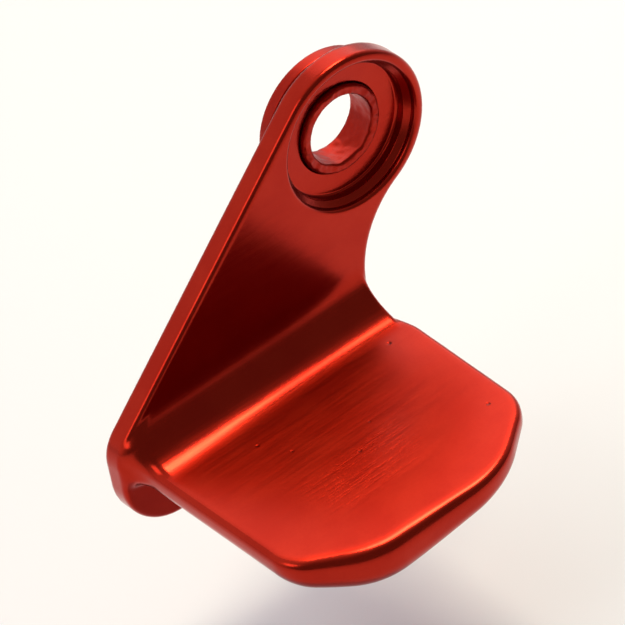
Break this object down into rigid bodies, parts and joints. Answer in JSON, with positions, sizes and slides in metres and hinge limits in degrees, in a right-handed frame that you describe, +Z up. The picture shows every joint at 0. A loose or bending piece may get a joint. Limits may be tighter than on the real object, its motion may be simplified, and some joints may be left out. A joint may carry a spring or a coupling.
{
  "type": "kickstand foot lever",
  "caption": "Red anodised kickstand foot lever: flat tapering arm, cupped pivot eye with a clamped sleeve, and a wide foot pad square to the arm.",
  "frame": {"origin": "on the pivot axis, at the pivot sleeve's rear face, which seats on the bracket", "axes": "+Y along the pivot axis to the rear, towards the bracket; -Y is the way the foot pad stands out; +Z up, normal to the pad's top; +X from the pad's lobed side to its plain side"},
  "size_m": [0.047, 0.0373, 0.0422],
  "materials": {
    "lever_anodised": "glossy bright red anodising over a finely brushed surface, small pits, paler worn edges",
    "sleeve_anodised": "deep red anodising over turned aluminium, grazed round its lip"
  },
  "bodies": {
    "pivot_sleeve": {"pivot_sleeve": "sleeve_anodised"},
    "lever": {"lever": "lever_anodised"}
  },
  "joints": [
    {"name": "lever_pivot", "type": "hinge", "parent": "pivot_sleeve", "child": "lever", "pos_m": [0, 0, 0], "axis": [0, 1, 0], "continuous": true}
  ]
}
